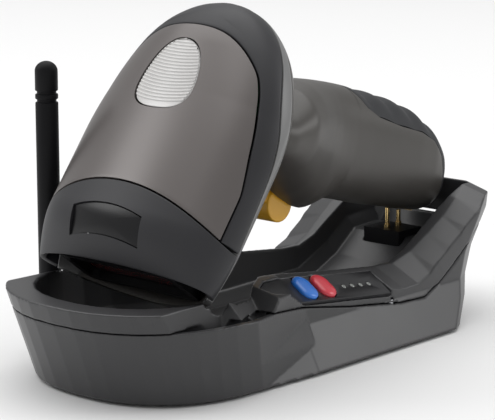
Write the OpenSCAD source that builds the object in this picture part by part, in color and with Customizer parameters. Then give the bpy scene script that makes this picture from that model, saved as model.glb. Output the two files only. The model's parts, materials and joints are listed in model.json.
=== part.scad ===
// Cordless handheld barcode scanner resting in its charging cradle.
// Origin: on the table, under the scanner's nose.  +Z up, the nose points to -Y,
// the handle runs to +Y, and X = 0 is the plane of symmetry of scanner and cradle.

/* [Scanner head] */
// Half of the head's width, mm
head_hw = 37.5; // [34:0.5:40]
// Length of the head along its own axis
head_len = 96; // [90:1:104]
// Depth of the head from its crown to its back
head_depth = 38; // [34:1:42]
// Slope of the head above the table, degrees
head_tilt = 53.3; // [53:0.1:54]
// Thickness of the scanner's plastic walls
wall = 2.2; // [1.8:0.1:2.6]
// Gap between two neighbouring covers
seam = 0.3; // [0.2:0.05:0.5]
// Half of the status window's width
led_hw = 11; // [8:0.5:13]
// Half of the blank badge's width
badge_hw = 14; // [10:0.5:18]

/* [Handle] */
// Half of the handle's width
grip_hw = 16.5; // [15:0.5:18]
// Length of the handle along its own axis, from under the head
grip_len = 94.5; // [90:0.5:98]
// Droop of the handle below level, degrees
grip_droop = 15; // [14:0.5:16]
// Thickness of the rubber grip
rubber = 2.4; // [1.8:0.1:3]
// Width of the trigger
trigger_w = 10; // [8:0.5:11]
// Clearance on each side of the trigger
trigger_gap = 0.8; // [0.5:0.1:1.2]
// Diameter of the trigger's pivot pin
trigger_pin_d = 2.5; // [2:0.1:3]

/* [Cradle] */
// Half of the cradle's width at the table
base_hw = 39.5; // [37:0.5:43]
// Half of the cradle's width at the rim of the nose basin
rim_hw = 40.5; // [38:0.5:43]
// Half of the cradle's width beside the handle
waist_hw = 32; // [29:0.5:34]
// Furthest the rim reaches in front of the origin
front_y = 63.5; // [58:0.5:70]
// Half of the handle trough's width
trough_hw = 19.5; // [18.5:0.5:21.5]
// Thickness of the cradle's walls
cradle_wall = 2.4; // [2:0.1:3]
// Height of the nose basin's floor above the table
basin_floor = 9; // [7:0.5:12]
// Diameter of the rubber feet
foot_d = 9; // [7:0.5:11]
// How far the feet stand out of the base
foot_h = 1; // [0.8:0.1:1.5]
// Length of the push buttons
button_l = 10; // [9:0.5:12]
// Width of the push buttons
button_w = 7; // [5:0.5:7.5]
// Travel of the push buttons
button_travel = 1; // [0.6:0.1:1.2]
// Diameter of the power jack's bore
jack_bore = 5.5; // [5:0.1:6]
// Depth of the power jack's bore
jack_depth = 9; // [7:0.5:10]

// Radius of the holes in the inserts that fix the cradle to a counter
insert_bore = 1.5; // [1.3:0.1:1.8]

/* [Antenna] */
// Diameter of the antenna's sleeve
ant_d = 7.2; // [6:0.1:8]
// Length of the antenna's sleeve above its hinge
ant_len = 72.5; // [60:0.5:90]
// Diameter of the antenna's hinge pin
ant_pin_d = 2.4; // [2:0.1:3]
// Radial running clearance of every pin and barrel
run_clear = 0.05; // [0.03:0.01:0.09]

/* [Hidden] */
$fn = 48;
big = 150;
head_rise = 65.8;      // the crown line's distance from the origin, square to the head's axis
nose_s = 4.5;          // where the head is cut off square for its scan opening
ring = 28;             // points round one section

// ---- frames: [x, along the axis, away from the axis] ----
module in_head() { rotate([head_tilt, 0, 0]) translate([0, 0, head_rise]) children(); }
module in_handle() { rotate([-grip_droop, 0, 0]) children(); }
// a skin through closed rings of equal point count, capped at both ends
module loft(points, n, upward = false) {
    m = len(points) / n;
    function face(f) = upward ? [for (i = [len(f) - 1 : -1 : 0]) f[i]] : f;
    polyhedron(points, concat([for (j = [0 : m - 2], i = [0 : n - 1]) let (a = j * n + i, b = j * n + (i + 1) % n)
        each [face([a, b, b + n]), face([a, b + n, a + n])]],
        [face([for (i = [n - 1 : -1 : 0]) i]), face([for (i = [0 : n - 1]) (m - 1) * n + i])]));
}
// rows are [y, outline in x and z] or [z, outline in x and y]
module loft_y(rows) { loft([for (r = rows, p = r[1]) [p[0], r[0], p[1]]], len(rows[0][1])); }
module loft_z(rows) { loft([for (r = rows, p = r[1]) [p[0], p[1], r[0]]], len(rows[0][1]), true); }
// moulded shells are worked out as one mesh at their true size
module moulded() { resize([0, 0, 0]) children(); }
// a bar of side-view outline along x
module side_bar(pts, step = 0) {
    rotate([90, 0, 90]) linear_extrude(2 * big, center = true) offset(delta = step) polygon(pts);
}
function pw(v, p) = sign(v) * pow(abs(v), 2 / p);
// closed ring: upper half of height up with power pu, lower half of depth dn with power pd
function oval(a, zc, up, dn, pu, pd) = [for (i = [0 : ring - 1]) let (t = 360 * i / ring,
    top = sin(t) >= 0, p = top ? pu : pd)
    [a * pw(cos(t), p), zc + (top ? up : dn) * pw(sin(t), p)]];
function arc_in(x) = sqrt(max(0, 1 - x * x));

// ---- the head's own surface ----
round_s = 45;          // the head's outline starts to close in here
crest_s = head_len - 20;
function head_a(s) = head_hw * arc_in(max(0, (s - round_s) / (head_len - 0.4 - round_s)))
    - 3.5 * pow(max(0, 20 - s) / 20, 1.6);
function head_top(s) = s > crest_s ? -15 + 15 * arc_in((s - crest_s) / 20)
    : s < 20 ? -0.0475 * pow(20 - s, 1.9) : 0;
function head_bot(s) = s > crest_s ? -15 - (head_depth - 15) * arc_in((s - crest_s) / 20) : -head_depth;
function head_mid(s) = -19 + 4 * max(0, min(1, (s - 60) / 30));
function head_ring(s, d) = oval(max(0.4, head_a(s) - d), head_mid(s), max(0.4, head_top(s) - head_mid(s) - d),
    max(0.4, head_mid(s) - head_bot(s) - d), 2.1, 1.6);
module head_solid(d = 0, s0 = nose_s) {
    st = [s0, 9, 14, 20, 32, 45, 56, 65, 72, 78, 83, 87.5, 91, 93.6, 95.2];
    sc = [for (v = st) v == s0 ? v : (v < 46 ? v : 45 + (v - 45) * (head_len - 45) / 51) - 0.2 * d];
    last = d > 0 ? len(sc) - 2 : len(sc) - 1;
    loft_y([for (i = [0 : last]) [sc[i], head_ring(sc[i], d)]]);
}
// side-view lines that part the covers, as [s, n]
cover_line = [[-5, -13], [34, -13], [46, -10.8], [55, -9.7], [64, -8.6], [70, -7.5], [75, -5.2], [80, -2.4],
    [82.6, -0.4], [84, 4]];
band_line = [[-5, -24.5], [11, -23], [19, -20.8], [31, -19.8], [44, -18.8], [55, -17], [63, -14.8], [70, -13.8],
    [110, -13.5]];
strip_line = [[-5, -29.5], [13, -28], [37, -25.5], [46, -24], [57, -21.4], [69, -19.2], [79.5, -17.7], [110, -17.5]];
function above(line, g = 0) = concat([for (p = line) [p[0], p[1] + g]],
    [[line[len(line) - 1][0], 40], [line[0][0], 40]]);
function below(line, g = 0) = concat([for (p = line) [p[0], p[1] - g]],
    [[line[len(line) - 1][0], -80], [line[0][0], -80]]);
// the arched seam between the bumper and the top cover, seen square to the crown
function arch_s(x) = 27.5 - 7.5 * pow(abs(x) / 34, 2);
module bumper_zone(g = 0) {
    translate([0, 0, -60]) linear_extrude(100)
        polygon(concat([for (i = [-6 : 6]) [i * 7, arch_s(i * 7) - g]], [[42, -20], [-42, -20]]));
}
module head_shell() {
    difference() {
        head_solid();
        head_solid(wall, nose_s - 3);
    }
}

// ---- the handle's own surface: [t, top, bottom, half width] ----
grip_end = grip_len;
grip_rows = [
    [-11.3, 79, 62.5, 24.5], [-4, 80, 60, 26], [6, 88, 56.5, 25.5], [14, 90.6, 53, 22.6], [22, 91.8, 50.5, 19.6], [27, 92.3, 50, 18.2],
    [31, 92.6, 52.3, 17.4], [36, 92.8, 55, grip_hw + 0.3], [46, 92.9, 55.6, grip_hw],
    [grip_end - 34, 92.6, 55.6, grip_hw], [grip_end - 22, 91.2, 56.2, grip_hw],
    [grip_end - 12.5, 88.2, 56.4, grip_hw - 0.4], [grip_end - 6, 84, 56.8, grip_hw - 1.6],
    [grip_end - 2, 79.5, 58.2, grip_hw - 4], [grip_end, 74, 61, grip_hw - 7.5]];
function grip_ring(r, d) = let (mid = (r[1] + r[2]) / 2)
    oval(r[3] - d, mid, r[1] - mid - d, mid - r[2] - d, 2.5, r[0] < 30 ? 2 : 2.5);
module grip_solid(d = 0) {
    t0 = grip_end - 36;
    loft_y([for (r = grip_rows) [r[0] < t0 ? r[0] : t0 + (r[0] - t0) * (36 - d) / 36, grip_ring(r, d)]]);
}
// side-view outline of the rubber grip, as [t, k]
grip_line = [[33, 99], [38, 91.5], [42, 86.8], [48, 84.5], [60, 83.3], [72, 83], [grip_end - 14.5, 81.2],
    [grip_end - 9.5, 77], [grip_end - 6.5, 70], [grip_end - 4.5, 62], [grip_end - 3, 48],
    [grip_end + 20, 48], [grip_end + 20, 99]];

// ---- places inside the scanner ----
pivot = [0, 21, 57];           // trigger pivot
ball = [0, 30.3, 44.5];        // centre of the trigger's finger end
ball_r = 5.8;
pad_t = [80, 86.5];            // charging contacts under the butt
pad_k = 56.7;
pad_y = [for (t = pad_t) t * cos(grip_droop) + pad_k * sin(grip_droop)];
pad_z = [for (t = pad_t) pad_k * cos(grip_droop) - t * sin(grip_droop)];
boss_t = [40, 75.3];             // housing screws along the handle
boss_k = 63;
boss_r = 2.6;
screw_r = 1.2;

module top_cover() {
    color("#6e6663") moulded() in_head() difference() {
        intersection() {
            head_shell();
            side_bar(above(cover_line, seam));
        }
        bumper_zone(-seam);
        led_cut(0.15, 10);
    }
}
// teardrop status window, seen square to the crown
led_low = 52.5;
led_high = 76;
function led_shape(g) = concat(
    [for (a = [200 : 20 : 340]) [(led_hw + g) * cos(a) * 1.05, led_low + 6 + (led_hw + g) * 0.62 * sin(a)]],
    [for (a = [0 : 15 : 180]) [(led_hw + g) * pw(cos(a), 2.4), led_low + 8 + (led_high - led_low - 8 + g) * pw(sin(a), 1.7)]]);
module led_cut(g, h) { translate([0, 0, -h]) linear_extrude(h + 5) polygon(led_shape(g)); }
module nose_bumper() {
    color("#3b3a3f") moulded() in_head() difference() {
        intersection() {
            head_shell();
            side_bar(above(band_line, seam / 2));
            bumper_zone();
        }
        badge_zone(0.15, 1.2);
    }
}
module badge_zone(g, h) {
    translate([0, 0, -20]) linear_extrude(40) polygon([for (p = [[-1, 9.6], [-1, 17.6], [-0.5, 19], [0, 19.6],
        [0.5, 19], [1, 17.6], [1, 9.6], [0.5, 10.9], [-0.5, 10.9]]) [p[0] * (badge_hw + g),
        p[1] + (p[1] > 15 ? g : -g)]]);
}
module badge_plate() {
    color("#2c2b2e") moulded() in_head() intersection() {
        difference() {
            head_solid(0.5);
            head_solid(wall);
        }
        badge_zone(0, 0);
    }
}
module head_band() {
    color("#3b3a3f") moulded() in_head() difference() {
        intersection() {
            head_shell();
            side_bar(above(band_line, seam / 2));
        }
        side_bar(above(cover_line));
        bumper_zone(-seam);
    }
}
module trim_strip() {
    color("#8d8c8c") moulded() in_head() intersection() {
        head_shell();
        side_bar(below(band_line, seam / 2));
        side_bar(above(strip_line, seam / 2));
    }
}
module body_skin() {
    in_head() intersection() {
        head_solid();
        side_bar(below(strip_line, seam / 2));
    }
    in_handle() difference() {
        grip_solid();
        difference() {
            side_bar(grip_line);
            grip_solid(rubber);
        }
    }
}
module housing() {
    difference() {
        union() {
            difference() {
                body_skin();
                in_head() head_solid(wall, nose_s - 3);
                in_handle() grip_solid(rubber + 1.5);
            }
            // screw bosses
            in_handle() for (t = boss_t) translate([0, t, boss_k]) rotate([0, 90, 0])
                cylinder(r = boss_r, h = 2 * grip_hw - 4.7, center = true);
            // trigger pin bosses
            translate(pivot) rotate([0, 90, 0])
                cylinder(r = trigger_pin_d / 2 + 1.6, h = trigger_w + 2 * trigger_gap + 8, center = true);
        }
        // the neck stops short of the head's other covers
        in_head() difference() {
            translate([0, 40, 20]) cube([120, 200, 80], center = true);
            side_bar(below(strip_line, seam / 2));
        }
        in_handle() for (t = boss_t) translate([0, t, boss_k]) rotate([0, 90, 0])
            cylinder(r = screw_r, h = 3 * grip_hw, center = true);
        trigger_slot();
        translate(pivot) rotate([0, 90, 0])
            cylinder(r = trigger_pin_d / 2, h = trigger_w + 2 * trigger_gap + 4, center = true);
        // contact windows
        in_handle() for (t = pad_t) translate([0, t, pad_k]) cube([9, 4.2, 8], center = true);
        // scan opening: the nose end is open inside the walls
        in_head() translate([0, 0, -20]) cube([2 * head_hw - 14, 2 * nose_s + 2, 30], center = true);
    }
}
module trigger_slot() {
    w = trigger_w / 2 + trigger_gap;
    translate([-w, 0, 0]) rotate([90, 0, 90]) linear_extrude(2 * w)
        polygon([[14, 66], [14, 46], [20, 34], [42, 34], [41.5, 46], [38, 54], [31, 60], [28, 66]]);
}
module half(side) {
    intersection() {
        children();
        translate([side * (big + 0.02), 0, 0]) cube(2 * big, center = true);
    }
}
module housing_left() { color("#56524d") moulded() half(-1) housing(); }
module housing_right() { color("#56524d") moulded() half(1) housing(); }
module grip_pad() {
    color("#3a3b3e") moulded() in_handle() difference() {
        intersection() {
            grip_solid();
            side_bar([for (p = grip_line) [p[0] + 0.25, p[1] + (p[1] < 95 ? 0.2 : 0)]]);
        }
        grip_solid(rubber);
        // shallow finger scallops across the back
        for (i = [0 : 4]) translate([0, 46 + 11 * i, 92.6 - 0.42 * i * i + 9]) rotate([0, 90, 0])
            cylinder(r = 9.8, h = 2 * grip_hw + 4, center = true);
    }
}
module led_window() {
    color("#dfe2e2") moulded() in_head() intersection() {
        difference() {
            head_solid(0.3);
            head_solid(wall - 0.2);
        }
        led_cut(0, 12);
    }
}
module led_board() {
    color("#2f6b46") in_head() difference() {
        translate([-9, led_low + 2, -7.5]) cube([18, led_high - led_low - 8, 1]);
        for (y = [led_low + 5, led_high - 9]) translate([0, y, -8]) cylinder(r = 0.8, h = 3);
    }
    color("#f4f4e8") in_head() for (y = [led_low + 8, led_low + 14])
        translate([-2, y, -6.5]) cube([4, 2.5, 1.2]);
}
module scan_window() {
    color("#5a1414") in_head() translate([0, nose_s + 5.2, -21.5])
        rotate([90, 0, 0]) linear_extrude(1.6) offset(2, $fn = 32) square([36, 8], center = true);
}
module window_bezel() {
    color("#0e0e0f") in_head() difference() {
        translate([0, nose_s + 6.4, -21.5]) rotate([90, 0, 0]) linear_extrude(5.4)
            offset(3, $fn = 32) square([41, 10.5], center = true);
        translate([0, nose_s + 3.6, -21.5]) rotate([90, 0, 0]) linear_extrude(8)
            offset(2, $fn = 32) square([38, 9.6], center = true);
        translate([0, nose_s + 5.3, -21.5]) rotate([90, 0, 0]) linear_extrude(1.8)
            offset(2, $fn = 32) square([36.2, 8.2], center = true);
        translate([0, nose_s + 8, -21.5]) cube([34, 12, 7], center = true);
    }
}
module scan_engine() {
    color("#1c1c1e") in_head() difference() {
        translate([-13, nose_s + 12, -27]) cube([26, 14, 14]);
        translate([-6, nose_s + 11, -20]) rotate([-90, 0, 0]) cylinder(d = 6, h = 5);
        translate([7, nose_s + 11, -20]) rotate([-90, 0, 0]) cylinder(d = 4, h = 3);
    }
    color("#3b4a63") in_head() translate([-6, nose_s + 13.5, -20]) rotate([-90, 0, 0]) cylinder(d = 5.9, h = 2.4);
}
module main_board() {
    color("#2f6b46") in_head() difference() {
        translate([-24, 34, -17]) cube([48, 40, 1.6]);
        for (x = [-20, 20]) translate([x, 38, -18]) cylinder(d = 2.4, h = 4);
    }
    color("#1b1b1b") in_head() {
        translate([-6, 50, -15.4]) cube([12, 12, 1.4]);
        translate([10, 40, -15.4]) cube([8, 6, 1.2]);
    }
}
module radio_module() {
    color("#b9bcc0") in_head() translate([-19, 44, -15.4]) cube([11, 15, 2]);
}
module beeper() {
    color("#141414") in_head() difference() {
        translate([16, 63, -15.4]) cylinder(d = 9, h = 4.5);
        translate([16, 63, -12]) cylinder(d = 2, h = 3);
    }
}
module vibration_motor() {
    color("#c4c4c8") in_handle() translate([-4, 50, 63.7]) rotate([0, 90, 0]) cylinder(d = 6.8, h = 8);
}
module battery_cell() {
    color("#2e5c8a") in_handle() translate([0, 34, 76.5]) rotate([-90, 0, 0]) cylinder(d = 18.2, h = 41);
}
module charge_pads() {
    color("#d8b25a") in_handle() for (t = pad_t) translate([0, t, pad_k]) {
        translate([-4.3, -1.9, 0]) cube([8.6, 3.8, 1.2]);
        translate([-1, -0.5, 1.1]) cube([2, 1, 2.6]);
    }
}
module housing_screws() {
    color("#9a9ca0") in_handle() for (t = boss_t) translate([-grip_hw + 3.2, t, boss_k]) rotate([0, 90, 0]) {
        cylinder(r = screw_r, h = 2 * grip_hw - 8);
    }
}
module trigger_switch() {
    color("#202022") translate([-3, 33, 60.6]) cube([6, 6.2, 4]);
    color("#c8c8c8") translate([0, 35, 59.7]) cylinder(d = 2.4, h = 0.9);
}
module trigger() {
    color("#e2a52c") difference() {
        union() {
            translate(ball) rotate([0, 90, 0]) cylinder(r = ball_r, h = trigger_w, center = true);
            translate([-trigger_w / 2 + 1, 0, 0]) rotate([90, 0, 90]) linear_extrude(trigger_w - 2)
                polygon([[17.6, 58], [24.6, 45.5], [33, 49.6], [34, 56.6], [24.2, 59.6]]);
            translate(pivot) rotate([0, 90, 0]) cylinder(r = 3.6, h = trigger_w, center = true);
        }
        translate(pivot) rotate([0, 90, 0])
            cylinder(r = trigger_pin_d / 2 + run_clear, h = trigger_w + 4, center = true);
        // spring seat
        translate([0, 30.5, 54.6]) cylinder(d = 4.2, h = 6);
    }
}
module trigger_pin() {
    color("#b4b6ba") translate(pivot) rotate([0, 90, 0])
        cylinder(d = trigger_pin_d, h = trigger_w + 2 * trigger_gap + 4, center = true);
}
module trigger_spring() {
    color("#a8abb0") for (z = [0 : 3]) translate([0, 30.5, 55.4 + 1.35 * z])
        rotate_extrude() translate([1.5, 0]) circle(d = 0.6, $fn = 16);
}

// ---- the cradle's own surface ----
rim_z = 28.6;          // rim of the nose basin
base_rear = 88;
top_rear = 119;
shoulder_y = 12;       // where the wide nose lobe meets the narrow handle lobe
// front lobe outline: curved nose end, tapering to the waist at the shoulder
function lobe(w, yc, len, back_w, back_y, d) = concat(
    [for (a = [180 : 9 : 360]) [(w - d) * pw(cos(a), 2.35), yc + (len - d) * pw(sin(a), 2.35)]],
    [[back_w - d, back_y], [-back_w + d, back_y]]);
// rear lobe outline: straight sides, bevelled corners
function tail(w, y0, y1, r, d) = [[-w + d, y0], [w - d, y0], [w - d, y1 - r], [w - 0.35 * r - d, y1 - 0.3 * r - d],
    [w - r - d, y1 - d], [-w + r + d, y1 - d], [-w + 0.35 * r + d, y1 - 0.3 * r - d], [-w + d, y1 - r]];
lobe_z = [0, 8, 16, 23.2, 33];
function lobe_at(z, d) = let (u = z / 23.2, v = min(1, z / 14))
    lobe(base_hw - 1.5 + (rim_hw - base_hw + 1.5) * u, -15 - 5 * u, front_y - 23.5 + 3.5 * u,
        base_hw + (waist_hw - base_hw) * v, shoulder_y, d);
tail_z = [0, 8, 14, 23, 35, 48];
tail_rear = [0, 10, 16, 20, 29, 31];
tail_r = [9, 11, 13, 15, 17, 18];
function tail_at(i, d) = let (z = tail_z[i], v = min(1, z / 14))
    tail(base_hw + (waist_hw - base_hw) * v + max(0, z - 14) * 0.05, 9.7,
        base_rear + tail_rear[i] * (top_rear - base_rear) / 31, tail_r[i], d);
module cradle_block(d = 0, floor = 0) {
    loft_z([for (z = lobe_z) [max(floor, z), lobe_at(z, d)]]);
    loft_z([for (i = [0 : len(tail_z) - 1]) [max(floor, tail_z[i]), tail_at(i, d)]]);
}
// top surface, as [y, ridge height, outer edge height, ridge half width]
roof_rows = [[-80, 28.6, 24, 33], [-24, 28.6, 24.8, 31], [-6, 28.7, 24.6, 22], [10, 27.8, 22.6, 20], [35, 24.6, 18.4, 20],
    [60, 21.8, 15.4, 20], [68, 21.6, 15.6, 21], [76, 24.4, 20.3, 22], [84, 29.2, 25.8, 23], [92, 34, 31.6, 23.5],
    [100, 39, 36, 23], [107.6, 42, 38.6, 20.7], [112, 42.6, 38.4, 18], [117, 41.4, 36.5, 15], [122, 38, 33, 12]];
module roof(d = 0) {
    loft_y([for (r = roof_rows) let (slope = (r[1] - r[2]) / (waist_hw + 1.5 - r[3]), side = r[0] < 0 ? 0.55 : 1,
        edge = r[1] - d - slope * side * (60 - r[3]))
        [r[0], [[-60, -30], [60, -30], [60, edge], [r[3], r[1] - d], [-r[3], r[1] - d], [-60, edge]]]]);
}
parting = [[-90, 22.6], [-25, 22.6], [-8, 21.8], [8, 19.6], [33, 15.2], [58, 12], [70, 11.6], [79, 14.4], [86, 19],
    [93, 24.6], [99, 27.8], [108.6, 29.9], [130, 30.6]];
module over_parting(g = 0) {
    side_bar(concat([for (p = parting) [p[0], p[1] + g]], [[130, 70], [-90, 70]]));
}
// the nose basin and the handle trough
basin_front = front_y - 6;
function basin(w, len, back_w, d) = concat(
    [for (a = [180 : 12 : 360]) [(w + d) * pw(cos(a), 2.3), -21 + (len + d) * pw(sin(a), 2.3)]],
    [[w + d - 3, -12], [back_w + d, 3], [-back_w - d, 3], [-w - d + 3, -12]]);
trough_low = [[-10, basin_floor], [31.3, basin_floor], [66, basin_floor + 1], [82, 17], [92, 24.4], [113, 25.4]];
module basin_cut(d = 0, top = 60) {
    low = basin_floor - 0.15 - d;
    loft_z([[low, basin(rim_hw - 12, basin_front - 26, trough_hw - 3, d)],
        [low + 5, basin(rim_hw - 9.4, basin_front - 22.6, trough_hw - 1, d)],
        [rim_z, basin(rim_hw - 8, basin_front - 21, trough_hw + 0.2, d)],
        [top, basin(rim_hw - 7.5, basin_front - 20.5, trough_hw + 0.3, d)]]);
    loft_y([for (p = trough_low) [p[0] + (p[0] > 100 ? d : 0), [[-trough_hw + 5 - d, p[1] - d],
        [trough_hw - 5 + d, p[1] - d], [trough_hw - 1.5 + d, p[1] + 4], [trough_hw + d, p[1] + 14],
        [trough_hw + 0.1 + d, top], [-trough_hw - 0.1 - d, top], [-trough_hw - d, p[1] + 14],
        [-trough_hw + 1.5 - d, p[1] + 4]]]]);
}
// ---- places on the cradle ----
panel_y = [-4, 54];
panel_x = 27.6;
panel_tilt = 31;       // slope of the near rim's top face
panel_drop = 6.4;      // how much the rim falls along the panel
panel_len = panel_y[1] - panel_y[0];
button_y = [20.8, 29.6];
button_x = -0.9;
light_y = [39, 43.2, 47.4, 51.6];
jack_z = 13;
jack_x = 12;
ant_y = -21.5;
ant_z = 13.2;
ant_x = 45.6;
bush_r = 3.6;
stem_r = 2.2;
foot_at = [[-29, -28], [29, -28], [-30, 70], [30, 70]];
screw_at = [[-33, -12], [33, -12], [-31, 54], [31, 54]];
base_screw_r = 1.5;
floor_t = 2.6;
post_h = 6.4;
insert_y = [-30, 30];
insert_r = 2.4;
insert_h = 5.2;
// on the sloping top face beside the trough: origin at the panel's front end, x outwards, y along, z off the face
module on_panel() {
    fall = atan(panel_drop / panel_len);
    translate([panel_x, panel_y[0], 24.9]) rotate([-fall, 0, 0]) rotate([0, panel_tilt, 0]) children();
}
module panel_shape(g, h, z = 0) {
    translate([0, 0, z]) linear_extrude(h) polygon([[-4.6 - g, 5 - g], [-5.6 - g, 12], [-5.6 - g, panel_len + g],
        [5.4 + g, panel_len + g], [5.4 + g, 6], [3.4 + g, -g], [-1, -1 - g]]);
}
module button_shape(g) {
    hull() for (s = [-1, 1]) translate([s * (button_l - button_w) / 2, 0]) circle(d = button_w + 2 * g);
}
module cradle_base() {
    color("#4a4a4c") moulded() difference() {
        union() {
            difference() {
                cradle_block();
                over_parting(-seam / 2);
                difference() {
                    cradle_block(cradle_wall, floor_t);
                    translate([0, 0, floor_t - 200]) cube(400, center = true);
                }
            }
            // screw posts and the bearing wall of the antenna's bushing
            intersection() {
                union() {
                    for (p = screw_at) translate([p[0], p[1], 0]) cylinder(r = 3.4, h = post_h);
                    for (y = insert_y) translate([0, y, 0]) cylinder(r = insert_r + 1.6, h = insert_h);
                    translate([-rim_hw + 1, ant_y, ant_z]) rotate([0, 90, 0]) cylinder(r = 7, h = 4.5);
                }
                cradle_block();
            }
        }
        for (p = screw_at) translate([p[0], p[1], -1]) cylinder(r = base_screw_r, h = 20);
        for (p = screw_at) translate([p[0], p[1], -1]) cylinder(r = 3, h = 2.8);
        for (p = foot_at) translate([p[0], p[1], -1]) cylinder(d = foot_d, h = 1.8);
        for (y = insert_y) translate([0, y, -1]) cylinder(r = insert_r + 0.03, h = 20);
        translate([-60, ant_y, ant_z]) rotate([0, 90, 0]) cylinder(r = bush_r, h = 40);
        // openings for the two sockets in the sloping rear wall
        for (x = [-jack_x, jack_x]) translate([x - 5.4, 78, jack_z - 4.9]) cube([10.8, 30, 9.8]);
    }
}
// below the parting the top's own parts stay inside the base's walls
module inside_base() {
    over_parting(seam / 2);
    cradle_block(cradle_wall + 0.4);
}
module cradle_top() {
    color("#4d4c4f") moulded() difference() {
        union() {
            difference() {
                intersection() { cradle_block(); over_parting(seam / 2); roof(); }
                difference() {
                    intersection() { cradle_block(cradle_wall); roof(cradle_wall); }
                    basin_cut(cradle_wall);
                }
            }
            intersection() {
                basin_cut(cradle_wall);
                cradle_block(cradle_wall - 0.4);
                roof();
                inside_base();
            }
            for (p = screw_at) intersection() {
                translate([p[0], p[1], post_h + 0.1]) cylinder(r = 3.4, h = 25);
                cradle_block(cradle_wall - 0.4);
                roof(cradle_wall - 0.2);
                inside_base();
            }
        }
        basin_cut();
        for (p = screw_at) translate([p[0], p[1], 3]) cylinder(r = base_screw_r - 0.27, h = 11.2);
        on_panel() panel_shape(0.25, 10, -1.2);
        on_panel() for (y = button_y) translate([button_x, y, -12]) linear_extrude(14) button_shape(0.6);
        // room for the charging block
        translate([-7.7, pad_y[0] - 3.4, 16]) cube([15.4, pad_y[1] - pad_y[0] + 6.8, 12]);
    }
}
module control_panel() {
    color("#232326") on_panel() difference() {
        panel_shape(0, 1.4, -1.2);
        for (y = button_y) translate([button_x, y, -3]) linear_extrude(6) button_shape(0.35);
        for (y = light_y) translate([0, y, -0.4]) cylinder(d = 2, h = 2);
    }
}
module panel_lights() {
    color("#b9c4b9") on_panel() for (y = light_y) translate([0, y, -0.4]) cylinder(d = 1.9, h = 0.7);
}
module push_button(y) {
    on_panel() translate([button_x, y, 0]) {
        translate([0, 0, -0.9]) linear_extrude(2.9) button_shape(0);
        translate([0, 0, -2.3]) linear_extrude(1.42) button_shape(-0.8);
    }
}
module blue_button() { color("#2f74d8") push_button(button_y[0]); }
module red_button() { color("#dd3b46") push_button(button_y[1]); }
module button_switches() {
    color("#1a1a1a") on_panel() for (y = button_y) {
        translate([-1.8, y - 2.4, -6.6]) cube([4.4, 4.8, 3]);
        translate([0, y, -3.65]) cylinder(d = 2, h = 0.3);
    }
    color("#2f6b46") on_panel() translate([-1.2, button_y[0] - 5, -7.6]) cube([6.6, button_y[1] - button_y[0] + 10, 1]);
}
module ballast_weight() {
    color("#8b8d90") difference() {
        translate([-20, -24, floor_t]) cube([40, 48, 3.2]);
        for (x = [-14, 14]) translate([x, -12, floor_t - 1]) cylinder(d = 3, h = 6);
    }
}
module cradle_board() {
    color("#2f6b46") difference() {
        translate([-22, 58, floor_t + 1.4]) cube([44, 26, 1.6]);
        for (x = [-19, 19]) translate([x, 61, floor_t]) cylinder(d = 2.6, h = 5);
    }
    color("#1b1b1b") translate([-5, 62, floor_t + 3]) cube([9, 9, 1.2]);
}
module rubber_feet() {
    color("#1d1d1e") for (p = foot_at) translate([p[0], p[1], -foot_h]) cylinder(d = foot_d - 0.1, h = foot_h + 0.8);
}
module base_screws() {
    color("#9a9ca0") for (p = screw_at) translate([p[0], p[1], 0.2]) difference() {
        union() {
            cylinder(r = 2.8, h = 1.6);
            cylinder(r = base_screw_r - 0.3, h = 13.4);
        }
        for (a = [0, 90]) rotate(a) cube([3.4, 0.7, 1.6], center = true);
    }
}
module fixing_inserts() {
    color("#c09a4a") for (y = insert_y) translate([0, y, 0]) difference() {
        cylinder(r = insert_r, h = insert_h);
        translate([0, 0, -1]) cylinder(r = insert_bore, h = insert_h + 2);
    }
}
module charge_block() {
    color("#161617") difference() {
        translate([-7.5, pad_y[0] - 3.2, 21.2]) cube([15, pad_y[1] - pad_y[0] + 6.4, 5.4]);
        for (y = pad_y) translate([0, y, 15]) cylinder(d = 2.2, h = 20);
    }
}
module charge_pins() {
    color("#d8b25a") for (i = [0, 1]) translate([0, pad_y[i], 21.6]) {
        cylinder(d = 2.2, h = 6.4);
        cylinder(d = 1.5, h = pad_z[i] - 22);
    }
}
// the sockets' bodies slope to clear the underside of the trough
function under_trough(y) = lookup(y, trough_low) - cradle_wall - 0.2;
module jack_body(x) {
    translate([x - 5.2, 0, 0]) rotate([90, 0, 90]) linear_extrude(10.4)
        polygon([[80, jack_z - 4.7], [93.8, jack_z - 4.7], [93.8, jack_z + 4.7], [86.6, jack_z + 4.7],
            [82, under_trough(82)], [80, under_trough(80)]]);
}
module power_jack() {
    color("#19191a") difference() {
        jack_body(-jack_x);
        translate([-jack_x, 93.8 - jack_depth, jack_z]) rotate([-90, 0, 0]) cylinder(d = jack_bore, h = 20);
    }
}
module data_jack() {
    color("#19191a") difference() {
        jack_body(jack_x);
        translate([jack_x - 4, 85, jack_z - 3.2]) cube([8, 20, 6.4]);
    }
    color("#d8b25a") for (i = [0 : 3]) translate([jack_x - 2.8 + 1.6 * i, 85, jack_z + 1.6]) cube([0.6, 7, 0.8]);
}
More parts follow.
